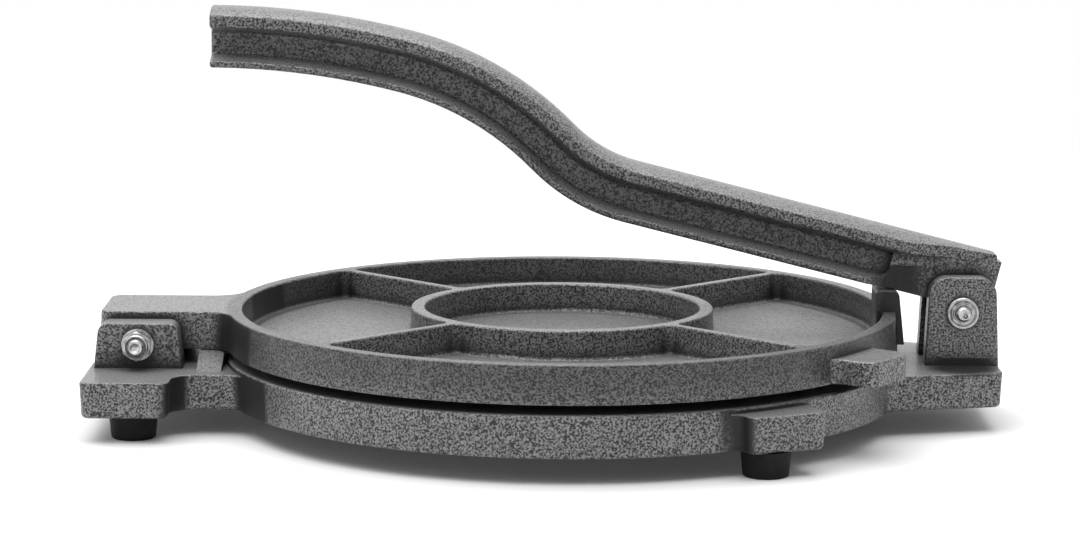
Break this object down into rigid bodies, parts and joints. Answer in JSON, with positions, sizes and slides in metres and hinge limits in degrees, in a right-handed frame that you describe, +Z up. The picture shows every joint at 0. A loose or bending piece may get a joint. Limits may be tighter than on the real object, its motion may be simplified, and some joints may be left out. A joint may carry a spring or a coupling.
{
  "type": "tortilla press",
  "caption": "Cast-iron tortilla press: a hinged round plate with a ribbed back, pressed onto its round base by a long curved lever hinged opposite the plate",
  "frame": {"origin": "On the table, under the middle of the press's overall length and width", "axes": "+X from the plate hinge to the lever hinge, -Y towards the cook, +Z up"},
  "size_m": [0.3439, 0.2558, 0.1565],
  "materials": {
    "casting": "dark-grey hammered coating over cast iron",
    "steel": "bright zinc-plated steel",
    "rubber": "matt black moulded rubber"
  },
  "bodies": {
    "base": {"base_plate": "casting", "hinge_bolt": "steel", "hinge_nut": "steel", "hinge_washer_front": "steel", "hinge_washer_back": "steel", "lever_pin": "steel", "lever_pin_cap": "steel", "lever_washer_back": "steel", "foot_left_front": "rubber", "foot_left_back": "rubber", "foot_right_front": "rubber", "foot_right_back": "rubber", "foot_washer_left_front": "steel", "foot_washer_left_back": "steel", "foot_washer_right_front": "steel", "foot_washer_right_back": "steel", "foot_screw_left_front": "steel", "foot_screw_left_back": "steel", "foot_screw_right_front": "steel", "foot_screw_right_back": "steel"},
    "plate": {"upper_plate": "casting"},
    "press_lever": {"lever": "casting"}
  },
  "joints": [
    {"name": "lever_pivot", "type": "hinge", "parent": "base", "child": "press_lever", "pos_m": [0.15624, 0, 0.0433], "axis": [0, 1, 0], "range_deg": [0, 105]},
    {"name": "plate_hinge", "type": "hinge", "parent": "base", "child": "plate", "pos_m": [-0.15346, 0, 0.0322], "axis": [0, -1, 0], "range_deg": [0, 105]}
  ],
  "couplings": [
    {"joint": "plate_hinge", "follows": "lever_pivot", "ratio": 0.07}
  ]
}
